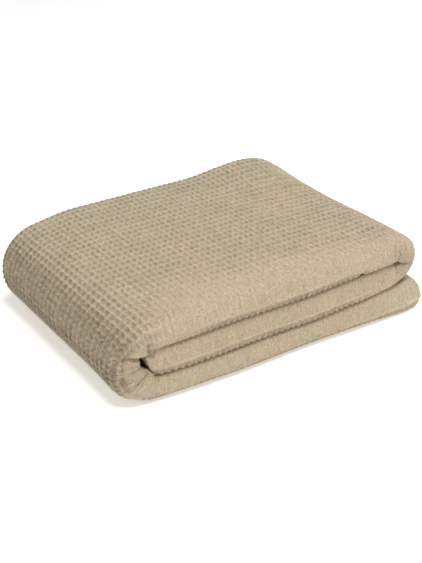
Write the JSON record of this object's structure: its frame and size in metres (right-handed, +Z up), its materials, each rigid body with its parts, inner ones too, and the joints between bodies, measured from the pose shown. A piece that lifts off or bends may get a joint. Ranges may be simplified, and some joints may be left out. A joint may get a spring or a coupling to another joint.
{
  "type": "folded waffle weave cotton blanket",
  "caption": "Soft waffle weave cotton bed blanket, doubled and folded across, then folded in three like a letter into a thick rectangular bundle with rounded folded edges.",
  "frame": {"origin": "centre of the bundle's outline, on the surface that it lies on", "axes": "+X along the bundle, from the big fold to the doubled end; -Y towards the side with the folded edges; +Z up"},
  "size_m": [0.4026, 0.2828, 0.1032],
  "materials": {
    "waffle_cotton": "sand-coloured cotton woven in a waffle of raised square ridges and sunken cells, soft and dull"
  },
  "bodies": {
    "root": {"blanket_cloth": "waffle_cotton"}
  },
  "joints": []
}
